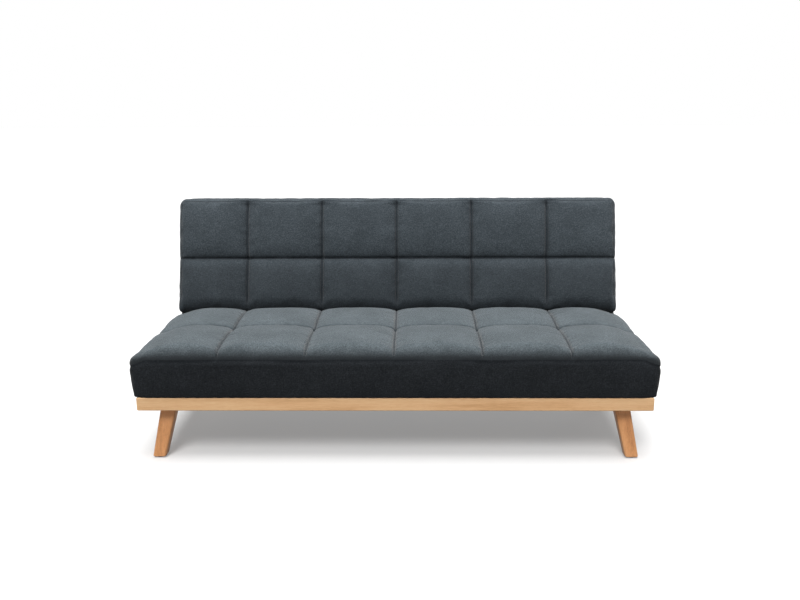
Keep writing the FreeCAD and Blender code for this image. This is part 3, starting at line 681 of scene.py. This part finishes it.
RAIL_SHADES = ("fad3a2", "ecbc8a", "cd9a66")
TIMBER_SHADES = ("dcc39a", "c9a877", "a8824f")
of_slot = {
    "rail_wood": wood_material("rail_wood", *RAIL_SHADES, 0),
    "leg_wood": wood_material("leg_wood", "f2b884", "e0a06a", "b5774a", 2, 0.4),
    "frame_timber": wood_material("frame_timber", *TIMBER_SHADES, 0, 0.7),
    "hinge_steel": metal_material("hinge_steel", "2a2a2c", 0.45, 0.6),
    "zinc_steel": metal_material("zinc_steel", "b4b6b8", 0.32),
    "spring_steel": metal_material("spring_steel", "5c5c5e", 0.4),
    "glide_plastic": soft_material("glide_plastic", "161616", "222222", 600, 0.6, 0.0003),
    "dust_cloth": dust_cloth,
    "felt": soft_material("felt", "8e877a", "aaa293", 500),
    "webbing": soft_material("webbing", "101010", "1e1e1e", 700),
}
# Members that run from front to rear have their grain along Y
of_slot_along_y = {
    "rail_wood": wood_material("side_rail_wood", *RAIL_SHADES, 1),
    "frame_timber": wood_material("frame_timber_across", *TIMBER_SHADES, 1, 0.7),
}
ALONG_Y = ("left_side_rail", "right_side_rail", "cross_rails", "left_seat_end_member", "right_seat_end_member",
           "seat_cross_members")
for part in frame["record"]["subparts"]:
    slot = part["material_slot"]
    if slot in of_slot:
        materials = nodes[part["node"]].data.materials
        materials.clear()
        materials.append((of_slot_along_y if part["node"] in ALONG_Y else of_slot)[slot])

# Seat cushion
seat = cushion("seat_cushion", SEAT, 3.0)
for cloth in (seat_cloth, shaded_boxing_cloth, dust_cloth):
    seat.data.materials.append(cloth)
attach(seat, "sofa_base")
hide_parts("seat_cover", "seat_foam")

# Back cushion, built flat and raised about the hinge
back = cushion("back_cushion", BACK, 11.0)
back.data.transform(Matrix.Translation(HINGE) @ Matrix.Rotation(RISE, 4, "X"))
for cloth in (back_cloth, back_cloth, rear_cloth):
    back.data.materials.append(cloth)
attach(back, "backrest")
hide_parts("back_cover", "back_foam", "back_panel")

# Dust cover: a thin cloth stretched under the seat, over the base's rails. It hangs a little in each bay between the
# rails, and its ends over the leg blocks stay flat.
DUST = dict(half=0.870, near=-0.383846, far=0.165154)
DUST_TOP, DUST_THICKNESS, DUST_SAG, DUST_CREASE = 0.2300, 0.0005, 0.004, 0.0008
DUST_COLUMNS, DUST_ROWS = 68, 24
BAYS = (-0.72, -0.29, 0.29, 0.72)
HELD_BAY, HELD_NEAR, HELD_FAR = 0.03, 0.03, 0.015  # widths that the rails hold flat


def swell(u):
    return math.sin(math.pi * clamp(u)) ** 0.7


def dust_cover(name):
    near, depth = DUST["near"], DUST["far"] - DUST["near"]
    verts = []
    for side in (0, 1):
        for j in range(DUST_ROWS + 1):
            y = near + depth * j / DUST_ROWS
            v = (y - near - HELD_NEAR) / (depth - HELD_NEAR - HELD_FAR)
            for i in range(DUST_COLUMNS + 1):
                x = -DUST["half"] + 2 * DUST["half"] * i / DUST_COLUMNS
                a, b = max((pair for pair in zip(BAYS, BAYS[1:]) if x > pair[0]), default=BAYS[:2])
                sag = swell((x - a - HELD_BAY) / (b - a - 2 * HELD_BAY)) * swell(v)
                crease = DUST_CREASE * noise.noise(Vector((x * 9, y * 14, 2.0))) * sag
                verts.append((x, y, DUST_TOP - side * DUST_THICKNESS - DUST_SAG * sag + crease))
    wide = DUST_COLUMNS + 1
    size = wide * (DUST_ROWS + 1)
    faces = []
    for j in range(DUST_ROWS):
        for i in range(DUST_COLUMNS):
            a = j * wide + i
            faces.append((a, a + 1, a + wide + 1, a + wide))
            faces.append((a + size, a + size + wide, a + size + wide + 1, a + size + 1))
    rim = list(range(DUST_COLUMNS)) + [j * wide + DUST_COLUMNS for j in range(DUST_ROWS)]
    rim += [DUST_ROWS * wide + i for i in range(DUST_COLUMNS, 0, -1)] + [j * wide for j in range(DUST_ROWS, 0, -1)]
    faces += [(b, a, a + size, b + size) for a, b in zip(rim, rim[1:] + rim[:1])]
    mesh = bpy.data.meshes.new(name)
    mesh.from_pydata(verts, [], faces)
    mesh.polygons.foreach_set("use_smooth", [True] * len(faces))
    mesh.update()
    piece = bpy.data.objects.new(name, mesh)
    scene.collection.objects.link(piece)
    return piece


dust = dust_cover("dust_cloth_sheet")
dust.data.materials.append(dust_cloth)
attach(dust, "sofa_base")
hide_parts("dust_cover")

# Floor: pale to the camera, darker to the light that it throws back
FLOOR_SEEN, FLOOR_LIT, FLOOR_GLOW = (0.62, 0.62, 0.62), (0.25, 0.25, 0.25), 0.25
FLOOR_HALF = 30
floor_mesh = bpy.data.meshes.new("floor")
floor_mesh.from_pydata([(x * FLOOR_HALF, y * FLOOR_HALF, 0) for x, y in ((-1, -1), (1, -1), (1, 1), (-1, 1))],
                       [], [(0, 1, 2, 3)])
floor = bpy.data.objects.new("floor", floor_mesh)
scene.collection.objects.link(floor)
floor_material, n = new_material("floor")
matt = n.add("BsdfDiffuse")
n.put(matt.inputs["Color"], n.mix(n.add("LightPath").outputs["Is Camera Ray"], FLOOR_LIT, FLOOR_SEEN))
glow = n.add("Emission")
n.put(glow.inputs["Strength"], n.math("MULTIPLY", n.backdrop_rays(), FLOOR_GLOW))
both = n.add("AddShader")
n.put(both.inputs[0], matt.outputs[0])
n.put(both.inputs[1], glow.outputs[0])
n.put(n.out.inputs["Surface"], both.outputs[0])
floor_mesh.materials.append(floor_material)

# World: white to the camera, and a weak white light on the object
WORLD_LIGHT = 0.15
world = bpy.data.worlds.new("studio")
scene.world = world
world.use_nodes = True
n = Nodes(world.node_tree, "OutputWorld")
strength = n.add("MapRange")
for key, value in (("To Min", WORLD_LIGHT), ("To Max", 1.0), ("Value", n.backdrop_rays())):
    n.put(strength.inputs[key], value)
sky = n.add("Background")
n.put(sky.inputs["Color"], (1.0, 1.0, 1.0))
n.put(sky.inputs["Strength"], strength.outputs["Result"])
n.put(n.out.inputs["Surface"], sky.outputs[0])


def sun(name, strength, angle, direction):
    """A broad soft light from a direction, which points from the object to the light."""
    data = bpy.data.lights.new(name, "SUN")
    data.energy = strength
    data.angle = math.radians(angle)
    lamp = bpy.data.objects.new(name, data)
    lamp.rotation_mode = "QUATERNION"
    lamp.rotation_quaternion = Vector(direction).to_track_quat("Z", "Y")
    scene.collection.objects.link(lamp)


sun("overhead", 3.3, 45, (0.0, 0.0, 1.0))
sun("key", 1.9, 24, (-0.2, -1.0, 1.25))
sun("rear", 0.5, 50, (0.2, 1.0, 0.35))

camera_data = bpy.data.cameras.new("camera")
camera_data.sensor_width, camera_data.lens = SENSOR, LENS
camera_data.clip_start, camera_data.clip_end = 0.05, 100.0
camera = bpy.data.objects.new("camera", camera_data)
scene.collection.objects.link(camera)
level = Vector((-math.sin(YAW), math.cos(YAW), 0.0))
look = level * math.cos(PITCH) - Vector((0, 0, math.sin(PITCH)))
right = level.cross(Vector((0, 0, 1)))
up = right.cross(look)
right, up = right * math.cos(ROLL) + up * math.sin(ROLL), up * math.cos(ROLL) - right * math.sin(ROLL)
camera.matrix_world = Matrix.Translation(CAMERA) @ Matrix((right, up, -look)).transposed().to_4x4()
scene.camera = camera

scene.view_settings.view_transform = "Standard"
